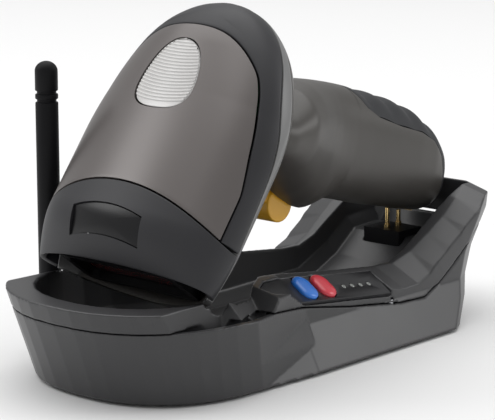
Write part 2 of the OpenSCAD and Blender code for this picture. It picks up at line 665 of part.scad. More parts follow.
// ---- antenna: fixed bushing, knuckle that turns on it, whip hinged in the knuckle's fork ----
module antenna_bushing() {
    color("#b8993f") translate([-37.2, ant_y, ant_z]) rotate([0, -90, 0]) {
        cylinder(r = bush_r, h = 4.6);
        cylinder(r = stem_r, h = 6.6);
    }
}
fork_gap = 3.4;
module antenna_knuckle() {
    color("#161617") difference() {
        union() {
            translate([-42, ant_y, ant_z]) rotate([0, -90, 0]) cylinder(d = 8.4, h = 3.4);
            intersection() {
                translate([-ant_x, ant_y, ant_z]) rotate([90, 0, 0]) cylinder(d = 8.4, h = 8.4, center = true);
                translate([-ant_x - 5, ant_y, ant_z]) rotate([0, 90, 0]) cylinder(d = 8.4, h = ant_x - 37);
            }
        }
        translate([-38, ant_y, ant_z]) rotate([0, -90, 0]) cylinder(r = stem_r + run_clear, h = 5.9);
        translate([-ant_x - 20, ant_y - fork_gap / 2, ant_z - 20]) cube([21.05, fork_gap, 40]);
        translate([-ant_x - 1, ant_y, ant_z]) rotate([90, 0, 0]) cylinder(d = ant_pin_d, h = 20, center = true);
    }
}
module hinge_pin() {
    color("#b4b6ba") translate([-ant_x - 1, ant_y, ant_z]) rotate([90, 0, 0])
        cylinder(d = ant_pin_d, h = 8, center = true);
}
module antenna_whip() {
    color("#1b1b1c") difference() {
        union() {
            translate([-ant_x - 1, ant_y, ant_z]) rotate([90, 0, 0]) cylinder(d = 3.8, h = fork_gap - 0.4, center = true);
            translate([-ant_x - 2.9, ant_y - fork_gap / 2 + 0.2, ant_z]) cube([3.8, fork_gap - 0.4, 7]);
            translate([-ant_x - 1, ant_y, ant_z + 5.2]) rotate_extrude() polygon(concat(
                [[0, 0], [2.6, 0], [ant_d / 2, 1.6], [ant_d / 2, ant_len - 10.6], [ant_d / 2 - 0.5, ant_len - 10.2],
                [ant_d / 2 - 0.5, ant_len - 9.6], [ant_d / 2, ant_len - 9.2]],
                [for (a = [0 : 15 : 90]) [ant_d / 2 * cos(a), ant_len - 3.2 + 3.2 * sin(a)]]));
        }
        translate([-ant_x - 1, ant_y, ant_z]) rotate([90, 0, 0])
            cylinder(r = ant_pin_d / 2 + run_clear, h = 20, center = true);
    }
}

top_cover();
nose_bumper();
head_band();
trim_strip();
housing_left();
housing_right();
grip_pad();
badge_plate();
led_window();
led_board();
scan_window();
window_bezel();
scan_engine();
main_board();
radio_module();
beeper();
vibration_motor();
battery_cell();
charge_pads();
housing_screws();
trigger_switch();
trigger();
trigger_pin();
trigger_spring();
cradle_base();
cradle_top();
ballast_weight();
rubber_feet();
base_screws();
cradle_board();
fixing_inserts();
charge_block();
charge_pins();
control_panel();
panel_lights();
button_switches();
blue_button();
red_button();
power_jack();
data_jack();
antenna_bushing();
antenna_knuckle();
hinge_pin();
antenna_whip();
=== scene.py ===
# %% [markdown]
# # A barcode scanner resting in its charging cradle
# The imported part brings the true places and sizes. This lesson builds the visible skins again,
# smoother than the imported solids, and gives each one a finish. Everything is in metres.

# %% the frame
import bpy
import bmesh
import json
import math
import numpy as np
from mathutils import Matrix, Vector


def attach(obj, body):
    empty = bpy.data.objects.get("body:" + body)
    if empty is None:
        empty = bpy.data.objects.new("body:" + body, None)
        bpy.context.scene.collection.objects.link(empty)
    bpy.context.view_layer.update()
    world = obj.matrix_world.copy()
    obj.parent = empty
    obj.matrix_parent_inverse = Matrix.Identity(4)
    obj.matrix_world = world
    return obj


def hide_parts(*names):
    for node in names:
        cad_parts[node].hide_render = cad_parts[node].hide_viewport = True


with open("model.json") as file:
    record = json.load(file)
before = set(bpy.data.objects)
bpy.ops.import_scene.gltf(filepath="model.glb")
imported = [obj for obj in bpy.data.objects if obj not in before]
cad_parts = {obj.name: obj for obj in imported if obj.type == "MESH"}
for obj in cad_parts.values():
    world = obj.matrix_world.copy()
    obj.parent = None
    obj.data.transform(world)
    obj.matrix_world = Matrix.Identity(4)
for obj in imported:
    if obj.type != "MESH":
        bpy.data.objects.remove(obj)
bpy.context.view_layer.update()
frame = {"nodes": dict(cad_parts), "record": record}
MM = 0.001

# %% [markdown]
# ## Finishes
# Moulded plastic is never quite even: a fine grain sits in the surface and its gloss wanders.
# Two small node groups hold these effects, and every material uses them with its own values.


# %% node group helpers
def new_group(name, inputs, outputs):
    """an empty shader node group with float inputs (name, default) and typed outputs"""
    group = bpy.data.node_groups.new(name, "ShaderNodeTree")
    for label, value in inputs:
        sock = group.interface.new_socket(label, in_out="INPUT", socket_type="NodeSocketFloat")
        sock.default_value = value
    for label in outputs:
        group.interface.new_socket(label, in_out="OUTPUT", socket_type="NodeSocketFloat")
    start = group.nodes.new("NodeGroupInput")
    end = group.nodes.new("NodeGroupOutput")
    return group, start, end


def math_node(tree, op, a, b):
    """one Math node; a and b are sockets or numbers"""
    node = tree.nodes.new("ShaderNodeMath")
    node.operation = op
    for i, value in enumerate((a, b)):
        if hasattr(value, "links"):
            tree.links.new(value, node.inputs[i])
        else:
            node.inputs[i].default_value = value
    return node.outputs[0]


def noise(tree, coords, scale, detail=2.0):
    node = tree.nodes.new("ShaderNodeTexNoise")
    node.inputs["Detail"].default_value = detail
    tree.links.new(coords, node.inputs["Vector"])
    if hasattr(scale, "links"):
        tree.links.new(scale, node.inputs["Scale"])
    else:
        node.inputs["Scale"].default_value = scale
    return node.outputs["Fac"]


# %% the grain group
grain, g_in, g_out = new_group("grain", [("Scale", 2500.0), ("Base", 0.45), ("Spread", 0.1)],
                               ["Height", "Roughness", "Mottle"])
g_pos = grain.nodes.new("ShaderNodeTexCoord").outputs["Object"]
g_fine = noise(grain, g_pos, g_in.outputs["Scale"], 3.0)
g_slow = noise(grain, g_pos, 45.0, 4.0)
grain.links.new(g_fine, g_out.inputs["Height"])
g_shift = math_node(grain, "SUBTRACT", g_slow, 0.5)
g_move = math_node(grain, "MULTIPLY", g_shift, g_in.outputs["Spread"])
grain.links.new(math_node(grain, "ADD", g_move, g_in.outputs["Base"]), g_out.inputs["Roughness"])
grain.links.new(g_slow, g_out.inputs["Mottle"])

# %% the scuff group: pale rub marks, strongest where a noise peaks
scuff, s_in, s_out = new_group("scuff", [("Amount", 0.15), ("Scale", 120.0)], ["Mask"])
s_pos = scuff.nodes.new("ShaderNodeTexCoord").outputs["Object"]
s_noise = noise(scuff, s_pos, s_in.outputs["Scale"], 6.0)
s_peak = math_node(scuff, "GREATER_THAN", s_noise, 0.66)
s_soft = math_node(scuff, "MULTIPLY", s_peak, s_noise)
scuff.links.new(math_node(scuff, "MULTIPLY", s_soft, s_in.outputs["Amount"]), s_out.inputs["Mask"])


# %% [markdown]
# ## One recipe for every finish
# A finish is a colour that wanders slightly, a roughness from the grain group and a very
# shallow bump. Metals, clear plastic and rubber only change the numbers.


# %% the material maker
def finish(name, colour, rough=0.45, spread=0.1, scale=2500.0, depth=0.02, metal=0.0, vary=0.08,
           coat=0.0, wear=0.0, through=0.0, specular=0.5):
    """a moulded, painted or metal surface"""
    mat = bpy.data.materials.new(name)
    mat.use_nodes = True
    tree = mat.node_tree
    shader = tree.nodes["Principled BSDF"]
    shader.inputs["Metallic"].default_value = metal
    shader.inputs["Coat Weight"].default_value = coat
    shader.inputs["Coat Roughness"].default_value = 0.25
    shader.inputs["Specular IOR Level"].default_value = specular
    if through:
        shader.inputs["Transmission Weight"].default_value = through
    body = tree.nodes.new("ShaderNodeGroup")
    body.node_tree = grain
    body.inputs["Scale"].default_value = scale
    body.inputs["Base"].default_value = rough
    body.inputs["Spread"].default_value = spread
    tree.links.new(body.outputs["Roughness"], shader.inputs["Roughness"])
    ramp = tree.nodes.new("ShaderNodeValToRGB")
    ramp.color_ramp.elements[0].color = [c * (1 - vary) for c in colour] + [1]
    ramp.color_ramp.elements[1].color = [min(1, c * (1 + vary)) for c in colour] + [1]
    tree.links.new(body.outputs["Mottle"], ramp.inputs["Fac"])
    rub = tree.nodes.new("ShaderNodeGroup")
    rub.node_tree = scuff
    rub.inputs["Amount"].default_value = wear
    mix = tree.nodes.new("ShaderNodeMix")
    mix.data_type = "RGBA"
    mix.inputs["B"].default_value = [min(1, 0.12 + c) for c in colour] + [1]
    tree.links.new(rub.outputs["Mask"], mix.inputs["Factor"])
    tree.links.new(ramp.outputs["Color"], mix.inputs["A"])
    tree.links.new(mix.outputs["Result"], shader.inputs["Base Color"])
    bump = tree.nodes.new("ShaderNodeBump")
    bump.inputs["Strength"].default_value = 0.5
    bump.inputs["Distance"].default_value = depth * MM
    tree.links.new(body.outputs["Height"], bump.inputs["Height"])
    tree.links.new(bump.outputs["Normal"], shader.inputs["Normal"])
    return mat


LOOKS = {
    "cover_paint": finish("cover_paint", (0.125, 0.112, 0.108), 0.34, 0.05, 3200, 0.012, 0.3, 0.05, 0.2),
    "charcoal_plastic": finish("charcoal_plastic", (0.026, 0.026, 0.029), 0.46, 0.08, 2600, 0.03,
                               specular=0.35),
    "strip_plastic": finish("strip_plastic", (0.17, 0.17, 0.17), 0.42, 0.06),
    "housing_plastic": finish("housing_plastic", (0.062, 0.058, 0.053), 0.4, 0.06, 3000, 0.012, 0.15),
    "grip_rubber": finish("grip_rubber", (0.024, 0.025, 0.028), 0.6, 0.1, 1800, 0.05, wear=0.05,
                          specular=0.35),
    "badge_plastic": finish("badge_plastic", (0.008, 0.008, 0.009), 0.3, 0.06, specular=0.3),
    "window_clear": finish("window_clear", (0.62, 0.61, 0.60), 0.22, 0.08, 900, 0.02, coat=0.3),
    "scan_glass": finish("scan_glass", (0.09, 0.008, 0.01), 0.06, 0.02, 500, 0.0, coat=1.0),
    "black_plastic": finish("black_plastic", (0.006, 0.006, 0.007), 0.5, 0.08, 2600, 0.03, specular=0.15),
    "board": finish("board", (0.02, 0.12, 0.05), 0.4, 0.1),
    "tin": finish("tin", (0.60, 0.61, 0.63), 0.34, 0.15, 1500, 0.02, 1.0),
    "cell_wrap": finish("cell_wrap", (0.03, 0.12, 0.30), 0.3, 0.05),
    "gold_contact": finish("gold_contact", (0.85, 0.62, 0.28), 0.22, 0.1, 1500, 0.01, 1.0),
    "screw_steel": finish("screw_steel", (0.52, 0.53, 0.55), 0.3, 0.15, 1500, 0.02, 1.0),
    "trigger_plastic": finish("trigger_plastic", (0.80, 0.42, 0.025), 0.38, 0.06, 2200, 0.02, coat=0.15),
    "cradle_plastic": finish("cradle_plastic", (0.036, 0.036, 0.038), 0.36, 0.08, 2400, 0.02, wear=0.03),
    "foot_rubber": finish("foot_rubber", (0.02, 0.02, 0.02), 0.75, 0.1, 1500, 0.06),
    "insert_brass": finish("insert_brass", (0.66, 0.46, 0.20), 0.32, 0.12, 1500, 0.02, 1.0),
    "panel_plastic": finish("panel_plastic", (0.012, 0.012, 0.014), 0.3, 0.05, 1500, 0.01),
    "light_lens": finish("light_lens", (0.20, 0.21, 0.20), 0.2, 0.05, 800, 0.01, coat=0.5),
    "blue_plastic": finish("blue_plastic", (0.03, 0.20, 0.72), 0.28, 0.05, 1500, 0.01, coat=0.3),
    "red_plastic": finish("red_plastic", (0.70, 0.045, 0.07), 0.28, 0.05, 1500, 0.01, coat=0.3),
}
print("finishes:", len(LOOKS))

# %% carried-over solids get the finish their slot names
for part in frame["record"]["subparts"]:
    node = frame["nodes"].get(part["node"])
    if node:
        node.data.materials.clear()
        node.data.materials.append(LOOKS[part["material_slot"]])


# %% [markdown]
# ## Shared mesh helpers
# A skin is a grid of points. It becomes a closed shell by giving it a wall, and a small bevel
# rounds the rim so that the seam between two covers catches the light.


# %% mesh helpers
def make_object(name, verts, faces, look, smooth=True):
    """a mesh in millimetres becomes an object in metres"""
    mesh = bpy.data.meshes.new(name)
    mesh.from_pydata([[c * MM for c in v] for v in verts], [], faces)
    mesh.validate()
    obj = bpy.data.objects.new(name, mesh)
    bpy.context.scene.collection.objects.link(obj)
    mesh.materials.append(LOOKS[look])
    for poly in mesh.polygons:
        poly.use_smooth = smooth
    return obj


def grid_faces(rows, cols, closed=False):
    """quads of a rows x cols grid, rows first"""
    last = cols if closed else cols - 1
    return [(r * cols + c, r * cols + (c + 1) % cols, (r + 1) * cols + (c + 1) % cols, (r + 1) * cols + c)
            for r in range(rows - 1) for c in range(last)]


def bake(obj):
    """turn an object's modifiers into plain mesh"""
    graph = bpy.context.evaluated_depsgraph_get()
    mesh = bpy.data.meshes.new_from_object(obj.evaluated_get(graph), depsgraph=graph)
    obj.modifiers.clear()
    obj.data = mesh
    return obj


def tidy(obj, gap=0.00002):
    """merge doubles and point the faces outwards"""
    bm = bmesh.new()
    bm.from_mesh(obj.data)
    bmesh.ops.remove_doubles(bm, verts=bm.verts, dist=gap)
    bmesh.ops.dissolve_degenerate(bm, edges=bm.edges, dist=1e-6)
    bmesh.ops.recalc_face_normals(bm, faces=bm.faces)
    bm.to_mesh(obj.data)
    bm.free()
    return obj


def face_away(obj, centre):
    """turn an open skin so that its faces look away from a point, in mm"""
    tidy(obj)
    c = Vector(centre) * MM
    score = sum((p.center - c).normalized().dot(p.normal) * p.area for p in obj.data.polygons)
    if score < 0:
        obj.data.flip_normals()
    return obj


def shell(obj, wall, rim=0.35, centre=(0, 0, 60)):
    """give an open skin a wall inwards and a rounded rim"""
    face_away(obj, centre)
    solid = obj.modifiers.new("wall", "SOLIDIFY")
    solid.thickness = wall * MM
    solid.offset = -1
    solid.use_even_offset = False
    bake(obj)
    edge = obj.modifiers.new("rim", "BEVEL")
    edge.width = rim * MM
    edge.segments = 3
    edge.limit_method = "ANGLE"
    edge.angle_limit = math.radians(40)
    edge.harden_normals = False
    return soften(bake(obj))


def soften(obj, angle=40):
    """smooth shading, kept sharp above an angle"""
    bm = bmesh.new()
    bm.from_mesh(obj.data)
    limit = math.radians(angle)
    for e in bm.edges:
        e.smooth = not (len(e.link_faces) == 2 and e.calc_face_angle(0) > limit)
    for f in bm.faces:
        f.smooth = True
    bm.to_mesh(obj.data)
    bm.free()
    return obj


# %% [markdown]
# ## The head's surface
# The head is a long egg cut off square at the nose. Each section across it is an oval with a
# flatter crown. The same rule that shaped the solid is worked out here at a finer step, so the
# covers look moulded rather than faceted.

# %% sizes of the head, in millimetres along its own axes
TILT = math.radians(53.3)
RISE = 65.8
HALF_W = 37.5
LENGTH = 96.0
DEPTH = 38.0
NOSE = 4.5
CLOSING = 45           # the outline starts to close in here
CREST = 76             # the crown starts to turn over here
TURN = 20              # length of that turn
SHOULDER = 15          # how far the crown falls over the turn
CROWN_POWER = 2.1      # fullness of the section above its widest line
BACK_POWER = 1.6       # and below it


def arc_in(v):
    return np.sqrt(np.maximum(0, 1 - v * v))


def head_a(s):
    """half width"""
    close = HALF_W * arc_in(np.maximum(0, (s - CLOSING) / (LENGTH - 0.4 - CLOSING)))
    return close - 3.5 * (np.maximum(0, 20 - s) / 20) ** 1.6


def turn_over(s):
    """1 before the crest, falling round to 0 at the end"""
    return arc_in(np.minimum(1, np.maximum(0, (s - CREST) / TURN)))


def head_top(s):
    """height of the crown, 0 along its straight stretch"""
    return np.where(s > CREST, -SHOULDER + SHOULDER * turn_over(s), -0.0475 * np.maximum(0, 20 - s) ** 1.9)


def head_bot(s):
    """height of the back"""
    return -SHOULDER - (DEPTH - SHOULDER) * turn_over(s)


def head_mid(s):
    """height of the widest line"""
    return -19 + 4 * np.clip((s - 60) / 30, 0, 1)


def power(v, p):
    """one coordinate of a superellipse of power p"""
    return np.sign(v) * np.abs(v) ** (2 / p)


def head_point(s, ang, off=0.0):
    """points of the head's skin at axis place s and angle ang, pulled in by off"""
    s = np.asarray(s, float)
    mid = head_mid(s)
    up = np.maximum(0.2, head_top(s) - mid - off)
    down = np.maximum(0.2, mid - head_bot(s) - off)
    a = np.maximum(0.0, head_a(s) - off)
    top = np.sin(ang) >= 0
    p = np.where(top, CROWN_POWER, BACK_POWER)
    x = a * power(np.cos(ang), p)
    n = mid + np.where(top, up, down) * power(np.sin(ang), p)
    return x, s, n


def head_world(x, s, n):
    """local (x, along the axis, off the crown) to the shared frame"""
    y = s * math.cos(TILT) - (n + RISE) * math.sin(TILT)
    z = s * math.sin(TILT) + (n + RISE) * math.cos(TILT)
    return np.stack(np.broadcast_arrays(x, y, z), -1)


def angle_at(s, n):
    """the angle at which the skin on the +X side stands at height n"""
    mid = head_mid(s)
    up = head_top(s) - mid
    down = mid - head_bot(s)
    over = n >= mid
    v = np.where(over, (n - mid) / np.maximum(up, 0.2), (n - mid) / np.maximum(down, 0.2))
    v = np.clip(v, -1, 1)
    half_power = np.where(over, CROWN_POWER, BACK_POWER) / 2
    return np.arcsin(np.clip(np.sign(v) * np.abs(v) ** half_power, -1, 1))


def crown_height(x, s):
    """how high the crown stands at (x, s)"""
    up = head_top(s) - head_mid(s)
    return head_mid(s) + up * (1 - np.abs(x / head_a(s)) ** CROWN_POWER) ** (1 / CROWN_POWER)


# %% the lines that part the covers
def smooth_line(points, soft=2.5):
    """a corner-free version of a bent line"""
    pts = np.array(points, float)
    fine = np.linspace(-10, 112, 1221)
    vals = np.interp(fine, pts[:, 0], pts[:, 1])
    kernel = np.exp(-0.5 * (np.arange(-60, 61) * 0.1 / soft) ** 2)
    padded = np.pad(vals, 60, mode="edge")
    vals = np.convolve(padded, kernel / kernel.sum(), mode="valid")
    return lambda s: np.interp(s, fine, vals)


cover_line = smooth_line([[-5, -13], [34, -13], [46, -10.8], [55, -9.7], [64, -8.6], [70, -7.5], [75, -5.2],
                          [80, -2.4], [82.6, -0.4], [84, 4]], 1.2)
band_line = smooth_line([[-5, -24.5], [11, -23], [19, -20.8], [31, -19.8], [44, -18.8], [55, -17],
                         [63, -14.8], [70, -13.8], [110, -13.5]])
strip_line = smooth_line([[-5, -29.5], [13, -28], [37, -25.5], [46, -24], [57, -21.4], [69, -19.2],
                          [79.5, -17.7], [110, -17.5]])


def arch(x):
    """the seam between nose bumper and top cover"""
    return 27.5 - 7.5 * (np.abs(x) / 34) ** 2


# %% [markdown]
# ## Top cover and nose bumper
# The painted cover is a shield: it starts at the arched seam over the nose and narrows to a
# point at the crest. Its grid follows both seams, so its edge is clean without any cutting.

# %% top cover
ROWS, COLS = 110, 90
tip = 82.2
v = np.linspace(0, 1, ROWS)[:, None]
u = np.linspace(-1, 1, COLS)[None, :]
s_row = 27.8 + (tip - 27.8) * np.sin(v * math.pi / 2) ** 0.9
edge = angle_at(s_row, cover_line(s_row) + 0.35)
ang = math.pi / 2 - u * (math.pi / 2 - edge)
x_here = head_a(s_row) * power(np.cos(ang), CROWN_POWER)
pull = (arch(x_here) + 0.35 - 27.8) * (1 - v) ** 2.2
s_grid = s_row + pull
edge = angle_at(s_grid, cover_line(s_grid) + 0.35)
ang = math.pi / 2 - u * (math.pi / 2 - edge)
pts = head_world(*head_point(s_grid, ang))
top_cover = make_object("top_cover_skin", pts.reshape(-1, 3).tolist(), grid_faces(ROWS, COLS), "cover_paint")
shell(top_cover, 2.0, 0.45)

# %% the status window's place is sunk into the cover
LED_LOW, LED_HIGH, LED_HALF = 52.5, 76.0, 11.0


def led_outline(gap, count=96):
    """teardrop outline of the status window, as (x, s)"""
    pts = []
    for i in range(count):
        a = 2 * math.pi * i / count
        c, d = math.cos(a), math.sin(a)
        half = LED_HALF + gap
        if d >= 0:
            pts.append((half * power(c, 2.3), LED_LOW + 8 + (LED_HIGH - LED_LOW - 8 + gap) * d ** (2 / 1.8)))
        else:
            pts.append((half * power(c, 2.6), LED_LOW + 8 + (8 + gap) * power(d, 2.6)))
    return pts


def prism(name, outline, low, high, world, look="black_plastic"):
    """a closed bar of an outline between two heights of a local frame"""
    n = len(outline)
    flat = np.array(outline)
    ends = [world(flat[:, 0], flat[:, 1], np.full(n, h)) for h in (low, high)]
    faces = [(i, (i + 1) % n, n + (i + 1) % n, n + i) for i in range(n)]
    faces += [tuple(range(n)), tuple(range(n, 2 * n))]
    return tidy(make_object(name, np.concatenate(ends).tolist(), faces, look, False))


def cut(obj, cutter):
    """take one closed mesh out of another"""
    mod = obj.modifiers.new("cut", "BOOLEAN")
    mod.operation = "DIFFERENCE"
    mod.solver = "EXACT"
    mod.object = cutter
    bake(obj)
    bpy.data.objects.remove(cutter)
    return obj


cut(top_cover, prism("led_cutter", led_outline(0.45), -12, 5, head_world))
soften(top_cover)
print("top cover faces:", len(top_cover.data.polygons))

# %% nose bumper
ROWS, COLS = 40, 110
v = np.linspace(0, 1, ROWS)[:, None]
s_grid = np.full((ROWS, COLS), 12.0)
for step in range(4):
    edge = angle_at(s_grid, band_line(s_grid) + 0.2)
    ang = math.pi / 2 - np.linspace(-1, 1, COLS)[None, :] * (math.pi / 2 - edge)
    x_here = head_a(s_grid) * power(np.cos(ang), CROWN_POWER)
    s_grid = NOSE + (arch(x_here) - 0.2 - NOSE) * v
pts = head_world(*head_point(s_grid, ang))
bumper = make_object("nose_bumper_skin", pts.reshape(-1, 3).tolist(), grid_faces(ROWS, COLS),
                     "charcoal_plastic")
shell(bumper, 2.2, 0.6)


# %% [markdown]
# ## Band and lip strip
# Both run like a horseshoe from one side of the nose over the crest to the other side. The grid
# follows the length of the horseshoe, with its steps set closer where the band turns over the top.


# %% horseshoe skins
def horseshoe(name, high, low, start, look, across=9, along=90):
    """a strip of the head's skin between two seam lines, over the crest"""
    fine = np.linspace(60, 96, 7201)
    points = []
    for w in np.linspace(0, 1, across):
        level = lambda s, w=w: (1 - w) * high(s) + w * low(s)
        inside = (level(fine) < head_top(fine)) & (level(fine) > head_bot(fine))
        end = fine[inside].max()
        k = np.linspace(0, 1, along)
        s = start + (end - start) * np.sin(k * math.pi / 2)
        ang = angle_at(s, level(s))
        x, s, n = head_point(s, ang)
        n = np.where(k == 1, level(end), n)
        x = np.where(k == 1, 0, x)
        right = head_world(x, s, n)
        left = right[-2::-1] * np.array([-1, 1, 1])
        points.append(np.concatenate([right, left]))
    pts = np.array(points)
    obj = make_object(name, pts.reshape(-1, 3).tolist(), grid_faces(across, 2 * along - 1), look)
    return obj


band = horseshoe("head_band_skin", lambda s: cover_line(s) - 0.15, lambda s: band_line(s) + 0.2, 19.2,
                 "charcoal_plastic")
shell(band, 2.0, 0.45)
strip = horseshoe("trim_strip_skin", lambda s: band_line(s) - 0.15, lambda s: strip_line(s) + 0.2, NOSE,
                  "strip_plastic")
shell(strip, 2.0, 0.5)
print("band and strip faces:", len(band.data.polygons), len(strip.data.polygons))

# %% [markdown]
# ## Handle
# The handle is one sleeve of ovals. Its neck opens out to meet the back of the head, its butt is
# rounded off, and rubber wraps its back and end. The two housing halves part on the centre plane.

# %% the handle's sections: place along it, top, bottom, half width
DROOP = math.radians(15)
GRIP_END = 94.5
SECTIONS = np.array([
    [-11.3, 79, 62.5, 24.5], [-4, 80.5, 60, 26], [6, 88, 56.5, 25.5], [14, 90.6, 53, 22.6],
    [22, 91.8, 50.5, 19.6],
    [27, 92.3, 50.2, 18.2], [31, 92.6, 52.3, 17.4], [36, 92.8, 55, 16.8], [46, 92.9, 55.6, 16.5],
    [60.5, 92.6, 55.6, 16.5], [72.5, 91.2, 56.2, 16.5], [82, 88.2, 56.4, 16.1], [88.5, 84, 56.8, 14.9],
    [92.5, 79.5, 58.2, 12.5], [94.5, 74, 61, 9]])
RUBBER_LINE = np.array([[33, 99], [38, 91.5], [42, 86.8], [48, 84.5], [60, 83.3], [72, 83], [80, 81.2],
                        [85, 77], [88, 70], [90, 62], [91.5, 48], [95, 40]])


def section_at(t):
    """top, bottom and half width at t, with no corners between the sections"""
    dense = np.linspace(SECTIONS[0, 0], GRIP_END, 1059)
    out = []
    for col in (1, 2, 3):
        vals = np.interp(dense, SECTIONS[:, 0], SECTIONS[:, col])
        kernel = np.exp(-0.5 * (np.arange(-25, 26) * 0.1 / 0.9) ** 2)
        pad = np.concatenate([2 * vals[0] - vals[25:0:-1], vals, 2 * vals[-1] - vals[-2:-27:-1]])
        out.append(np.interp(t, dense, np.convolve(pad, kernel / kernel.sum(), mode="valid")))
    return out


def handle_world(x, t, k):
    y = t * math.cos(DROOP) + k * math.sin(DROOP)
    z = -t * math.sin(DROOP) + k * math.cos(DROOP)
    return np.stack(np.broadcast_arrays(x, y, z), -1)


def handle_point(t, ang, off=0.0):
    top, low, half = section_at(t)
    mid = (top + low) / 2
    rad = (top - low) / 2 - off
    p = np.interp(t, [24, 38], [2.0, 2.5])
    p = np.where(np.sin(ang) > 0, 2.5 + 0 * p, p)
    return (half - off) * power(np.cos(ang), 2.5), t, mid + rad * power(np.sin(ang), p)


def rubber_angle(t, gap=0.0):
    """angle at which the rubber's edge stands on the +X side"""
    top, low, half = section_at(t)
    mid, rad = (top + low) / 2, (top - low) / 2
    line = np.interp(t, RUBBER_LINE[:, 0], RUBBER_LINE[:, 1]) + gap
    val = np.clip((line - mid) / rad, -1, 1)
    return np.arcsin(np.clip(np.sign(val) * np.abs(val) ** 1.25, -1, 1))


# %% housing halves: head back and handle
def head_back(side):
    """the back of the head behind the lip strip, one half"""
    rows, cols = 70, 40
    fine = np.linspace(60, 96, 7201)
    end = fine[(strip_line(fine) < head_top(fine)) & (strip_line(fine) > head_bot(fine))].max()
    s = NOSE + (end - NOSE) * np.sin(np.linspace(0, 1, rows) * math.pi / 2)[:, None]
    hi = angle_at(s, strip_line(s) - 0.2)
    ang = -math.pi / 2 + np.linspace(0, 1, cols)[None, :] * (hi + math.pi / 2)
    pts = head_world(*head_point(s, ang))
    pts[..., 0] = np.maximum(pts[..., 0], 0.04)
    return pts * np.array([side, 1, 1]), rows, cols


def steps_along(start, rows, knee, share):
    """rows from start to the butt: even up to the knee, then closer round the end"""
    k = np.linspace(0, 1, rows)
    even = k / knee * share
    round_off = share + (1 - share) * np.sin((k - knee) / (1 - knee) * math.pi / 2)
    return (start + (GRIP_END - start) * np.where(k < knee, even, round_off))[:, None]


def handle_half(side):
    """one half of the handle; its surface sinks under the rubber"""
    rows, cols = 150, 60
    t = steps_along(SECTIONS[0, 0], rows, 0.8, 0.84)
    split = rubber_angle(t)
    low = np.linspace(0, 1, cols // 2)[None, :]
    ang_low = -math.pi / 2 + low * (split - 0.004 + math.pi / 2)
    ang_high = split + 0.004 + low * (math.pi / 2 - split - 0.004)
    ang = np.concatenate([ang_low, ang_high], 1)
    sunk = np.concatenate([np.zeros_like(ang_low), np.full_like(ang_high, 1.3)], 1)
    sunk = np.where((t < 34.2) | (np.abs(split - math.pi / 2) < 0.01), 0.0, sunk)
    pts = handle_world(*handle_point(t, ang, sunk))
    pts[..., 0] = np.maximum(pts[..., 0], 0.04)
    return pts * np.array([side, 1, 1]), rows, cols


def side_prism(name, outline, half):
    """a closed bar of a side view outline (y, z), across x"""
    world = lambda a, b, h: np.stack([h, a, b], -1)
    return prism(name, outline, -half, half, world)


SLOT = [(14, 66), (14, 46), (20, 34), (42, 34), (41.5, 46), (38, 54), (31, 60), (28, 66)]
housings = []
for side, word in ((-1, "left"), (1, "right")):
    parts = []
    for label, maker, centre in (("back", head_back, (0, -20, 62)), ("sleeve", handle_half, (0, 60, 60))):
        pts, rows, cols = maker(side)
        piece = make_object(f"{label}_{word}", pts.reshape(-1, 3).tolist(), grid_faces(rows, cols),
                            "housing_plastic")
        shell(piece, 2.0, 0.3, centre)
        if label == "sleeve":
            cut(piece, side_prism("slot_cutter", SLOT, 5.8))
            soften(piece)
        parts.append(piece)
    with bpy.context.temp_override(active_object=parts[0], selected_editable_objects=parts):
        bpy.ops.object.join()
    parts[0].name = f"housing_{word}_skin"
    housings.append(parts[0])
print("housing faces:", [len(h.data.polygons) for h in housings])

# %% rubber grip with shallow finger scallops
rows, cols = 170, 90
t = steps_along(34.6, rows, 0.75, 0.82)
split = rubber_angle(t, 0.35)
ang = math.pi / 2 - np.linspace(-1, 1, cols)[None, :] * (math.pi / 2 - split)
x, tt, kk = handle_point(t, ang)
dip = sum(np.exp(-((tt - (46 + 11 * i)) / 2.9) ** 2) for i in range(5))
kk = kk - 1.0 * dip * np.clip((np.sin(ang) - 0.35) / 0.4, 0, 1)
pts = handle_world(x, tt, kk)
pad = make_object("grip_pad_skin", pts.reshape(-1, 3).tolist(), grid_faces(rows, cols), "grip_rubber")
shell(pad, 1.2, 0.35, (0, 60, 60))


# %% [markdown]
# ## Status window
# The window is a clear teardrop with fine curved ribs moulded across it. Ribs repeat, so a
# Geometry Nodes tree lays them out: a row of points carries one bent bar each, and the bars
# are then dropped onto the crown.

# %% the window's plate
outline = led_outline(0.0)
rings = [0.0, 0.15, 0.35, 0.55, 0.75, 0.9, 1.0]
cx, cs = 0.0, 63.0
verts, faces = [], []
for q in rings:
    flat = np.array([(cx + (px - cx) * max(q, 0.02), cs + (ps - cs) * max(q, 0.02)) for px, ps in outline])
    n_here = crown_height(flat[:, 0], flat[:, 1]) - 0.35
    verts += head_world(flat[:, 0], flat[:, 1], n_here).tolist()
n = len(outline)
faces = [(r * n + i, r * n + (i + 1) % n, (r + 1) * n + (i + 1) % n, (r + 1) * n + i)
         for r in range(len(rings) - 1) for i in range(n)]
faces.append(tuple(range(n)))
window = make_object("led_window_plate", verts, faces, "window_clear")
shell(window, 1.4, 0.25, (0, 0, 60))


